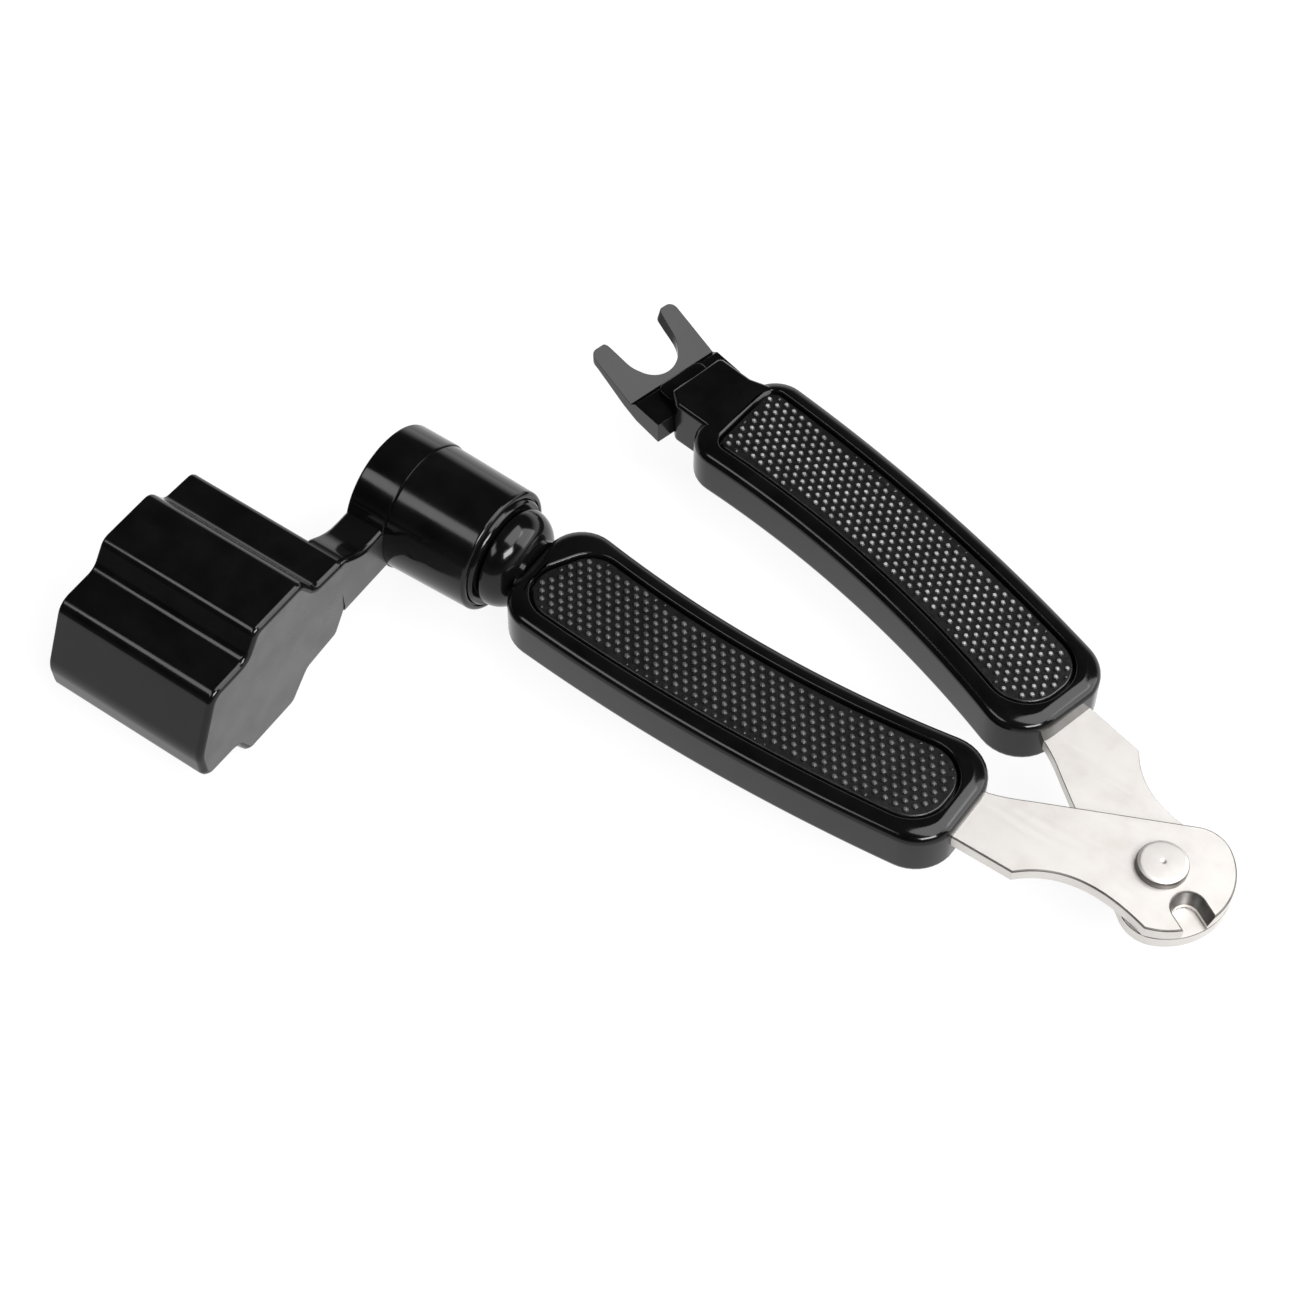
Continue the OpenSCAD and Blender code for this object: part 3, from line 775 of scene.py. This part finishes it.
# Collar: a step against the barrel, then a dome that narrows to the handle
collar = Solid()
collar_start = BARREL_START - AXIAL_GAP
near = collar_start - WINDER_END
dome_r, dome_x, dome_h = 4, 3.4, 0.6
profile = [(SPINDLE_R, 0), (6.6, 0), (6.75, 0.12), (6.8, 0.3), (7.1, 0.32), (7.35, 0.45), (7.4, 0.7)]
profile += [(dome_x + x, dome_h + y) for x, y in (polar(dome_r, a) for a in range(6, 74, 6))]
profile += [(4.55, near), (SPINDLE_R, near)]
collar.lathe(profile, along_x(collar_start), 96, closed=True)
make("collar_dome", collar, TO_ROW, PLASTIC, "winder_side", ["swivel_collar"])

# Barrel: the spigot's seat, a slightly tapered wall, a rounded rim and a groove in the near face
barrel = Solid()
length = HUB_START - BARREL_START
bore = SPINDLE_R + RUNNING_GAP
rim_r = 0.6
rim_start = length - 1.1
profile = [(bore, SPIGOT_LEN), (SPIGOT_R, SPIGOT_LEN), (SPIGOT_R, 0), (9.35, 0), (9.55, 0.08),
           (BARREL_R, 0.25), (BARREL_NEAR_R, rim_start)]
profile += [(BARREL_NEAR_R - rim_r + x, rim_start + y)
            for x, y in (polar(rim_r, a) for a in range(15, 91, 15))]
profile += [(8.5, length - 0.5), (8.42, length - 0.8), (8.28, length - 0.8), (8.2, length - 0.5),
            (8.1, length - 0.2), (7.9, length), (bore, length)]
barrel.lathe(profile, along_x(HUB_START), 128, closed=True)
make("barrel_turned", barrel, TO_ROW, PLASTIC, "crank", ["crank_barrel"])


def crank_point(a, b, c, start):
    """Reach a, height b (down) and depth c from x = -start, tilted with the crank."""
    return (c - start, -AXIS_Y - a * math.cos(CRANK_TILT) + b * math.sin(CRANK_TILT),
            -a * math.sin(CRANK_TILT) - b * math.cos(CRANK_TILT))


# Socket: (inset, depth) from the closed face down the outside, round the mouth and into the hollow
socket = Solid()
levels = [(0.9, SOCKET_LEN), (0.45, SOCKET_LEN - 0.12), (0.12, SOCKET_LEN - 0.45), (0, SOCKET_LEN - 0.9),
          (0, 0.45), (0.13, 0.13), (0.45, 0), (1.6, 0), (1.88, 0.12), (SOCKET_WALL, 0.4),
          (SOCKET_WALL, SOCKET_DEPTH - 0.4), (2.12, SOCKET_DEPTH - 0.12), (2.4, SOCKET_DEPTH)]
socket.loft([[crank_point(a, b, c, SOCKET_START) for a, b in socket_outline(w)] for w, c in levels])

# Arm: (reach, height) rows from inside the hub to inside the socket
ARM_HALF = 4
ARM_EDGE_R = 0.8
arm = Solid()
arm_rings = []
for a, top in ((3, ARM_HALF), (11, ARM_HALF), (12.4, 4.12), (13.6, 4.5), (14.8, 5.1), (16, 5.9), (16.8, 6.4),
               (18.4, 6.4)):
    section = [(-top, 0), (ARM_HALF, 0), (ARM_HALF, ARM_T), (-top, ARM_T)]
    pts = rounded([(b, c, ARM_EDGE_R) for b, c in section], 4)
    arm_rings.append([crank_point(a, b, c, HUB_END) for b, c in pts])
arm.loft(arm_rings)

hub = Solid()
spigot_end = ARM_T + SPIGOT_LEN - 0.1
bore_start = 2.4
profile = [(POCKET_R, bore_start), (POCKET_R, 0.3), (5.45, 0.1), (5.6, 0), (9.4, 0), (9.7, 0.2), (HUB_R, 0.5),
           (HUB_R, ARM_T - 0.3), (9.72, ARM_T - 0.08), (9.5, ARM_T), (SPIGOT_R, ARM_T),
           (SPIGOT_R, spigot_end - 0.1), (5.9, spigot_end), (bore, spigot_end), (bore, bore_start)]
hub.lathe(profile, along_x(HUB_END), 128, closed=True)
pocket = Solid()
pocket.lathe([(0, 0.3), (POCKET_R, 0.3), (POCKET_R, POCKET_DEPTH), (0, POCKET_DEPTH)], along_x(HUB_END), 96)
crank = make("crank_with_socket", socket, TO_ROW, PLASTIC, "crank", ["crank_socket"],
             join=[arm, hub], cut=[pocket])
end_x = ORIGIN.x - HUB_START * MM
# The socket's closed end face gets the lighter copy of the plastic: painted light, not a different material.
repaint(crank, END_FACE_PAINTED_LIGHT, lambda face: face.normal.x > 0.98 and abs(face.center.x - end_x) < 0.1 * MM)

cap = Solid()
cap.lathe([(0, 0.25), (3.6, 0.25), (4.0, 0.05), (5.0, 0.02), (5.3, 0.15), (5.38, 0.4), (5.38, 0.8), (0, 0.8)],
          along_x(HUB_END), 72)
make("hub_cap_dished", cap, TO_ROW, PLASTIC, "crank", ["hub_cap"])

for name in ("winder_tang_pin_front", "winder_tang_pin_rear", "puller_tang_pin_front", "puller_tang_pin_rear",
             "crank_spindle", "spindle_washer", "spindle_screw"):
    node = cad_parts[name]
    node.data.materials.clear()
    node.data.materials.append(STEEL)


# ---------------------------------------------------------------- camera

AZIMUTH, ELEVATION, ROLL = math.radians(34.89), math.radians(54.11), math.radians(0.56)
CAMERA_FROM_RIVET = Vector((0.0623, -0.2045, 0.3293))
SENSOR_MM = 36
FRAME_PX = 1300
FOCAL_PX = 3000
back = Vector((math.sin(AZIMUTH) * math.cos(ELEVATION), -math.cos(AZIMUTH) * math.cos(ELEVATION),
               math.sin(ELEVATION)))
right = Vector((math.cos(AZIMUTH), math.sin(AZIMUTH), 0))
up = back.cross(right)
right, up = (math.cos(ROLL) * right + math.sin(ROLL) * up, -math.sin(ROLL) * right + math.cos(ROLL) * up)
camera = bpy.data.objects.new("camera", bpy.data.cameras.new("camera"))
bpy.context.scene.collection.objects.link(camera)
camera.matrix_world = Matrix.Translation(ORIGIN + CAMERA_FROM_RIVET) @ Matrix(
    ((right.x, up.x, back.x), (right.y, up.y, back.y), (right.z, up.z, back.z))).to_4x4()
camera.data.sensor_width = SENSOR_MM
camera.data.lens = FOCAL_PX / FRAME_PX * SENSOR_MM
camera.data.clip_start = 0.01
camera.data.dof.use_dof = False
bpy.context.scene.camera = camera


# ---------------------------------------------------------------- floor, world and lights

FLOOR_DROP = 0.0002
floor_mesh = bpy.data.meshes.new("floor")
reach = 3.0
floor_mesh.from_pydata(at_height([(-reach, -reach), (reach, -reach), (reach, reach), (-reach, reach)], 0), [],
                       [(0, 1, 2, 3)])
floor = bpy.data.objects.new("floor", floor_mesh)
bpy.context.scene.collection.objects.link(floor)
floor.location.z = -FLOOR_DROP
mat, nodes, links, shader, coords = new_material("white_floor")
shader.inputs["Roughness"].default_value = 0.9
shader.inputs["Specular IOR Level"].default_value = 0.0
links.new(ramp(nodes, links, noise(nodes, links, coords, 40), [(0, grey(0.11)), (1, grey(0.13))]),
          shader.inputs["Base Color"])
shader.inputs["Emission Color"].default_value = (1, 1, 1, 1)
shader.inputs["Emission Strength"].default_value = 0.9
floor_mesh.materials.append(mat)

world = bpy.data.worlds.new("studio")
bpy.context.scene.world = world
world.use_nodes = True
nodes, links = world.node_tree.nodes, world.node_tree.links
background = nodes["Background"]
coords = nodes.new("ShaderNodeTexCoord")
split = nodes.new("ShaderNodeSeparateXYZ")
links.new(coords.outputs["Generated"], split.inputs["Vector"])
# A bright band round the horizon and a dark sky, dimmer towards -Y
height = ramp(nodes, links, split.outputs["Z"],
              [(0.0, grey(1.6)), (0.16, grey(1.3)), (0.34, grey(0.05)), (1.0, grey(0.03))])
side = nodes.new("ShaderNodeMapRange")
side.inputs["From Min"].default_value = -0.6
side.inputs["From Max"].default_value = 0.4
side.inputs["To Min"].default_value = 0.08
side.inputs["To Max"].default_value = 1.0
links.new(split.outputs["Y"], side.inputs["Value"])
links.new(height, background.inputs["Color"])
links.new(side.outputs["Result"], background.inputs["Strength"])


def area_light(name, width, tall, radiance):
    """A rectangular light that faces down; its power follows from its radiance."""
    light = bpy.data.lights.new(name, "AREA")
    light.shape = "RECTANGLE"
    light.size, light.size_y = width, tall
    light.energy = radiance * math.pi * width * tall
    obj = bpy.data.objects.new(name, light)
    bpy.context.scene.collection.objects.link(obj)
    return obj


def softbox(name, direction, distance, width, tall, radiance):
    """A light that faces the middle of the tool from a direction."""
    obj = area_light(name, width, tall, radiance)
    d = Vector(direction).normalized()
    obj.location = Vector((0, 0, 0.01)) + d * distance
    obj.rotation_euler = d.to_track_quat("Z", "Y").to_matrix().to_euler()


softbox("strip_left", (-0.335, -0.56, 0.757), 0.8, width=0.45, tall=0.2, radiance=5.0)
softbox("key_right", (0.66, -0.33, 0.67), 0.9, width=0.42, tall=0.24, radiance=22.0)
softbox("bank_right", (0.72, 0.50, 0.48), 1.0, width=0.7, tall=0.75, radiance=4.3)
panel = area_light("panel_high", width=0.72, tall=0.85, radiance=5.0)
panel.location = (0.39, 0.275, 0.93)

scene = bpy.context.scene
scene.view_settings.view_transform = "Standard"
scene.view_settings.look = "None"
scene.cycles.max_bounces = 8
scene.cycles.caustics_reflective = False
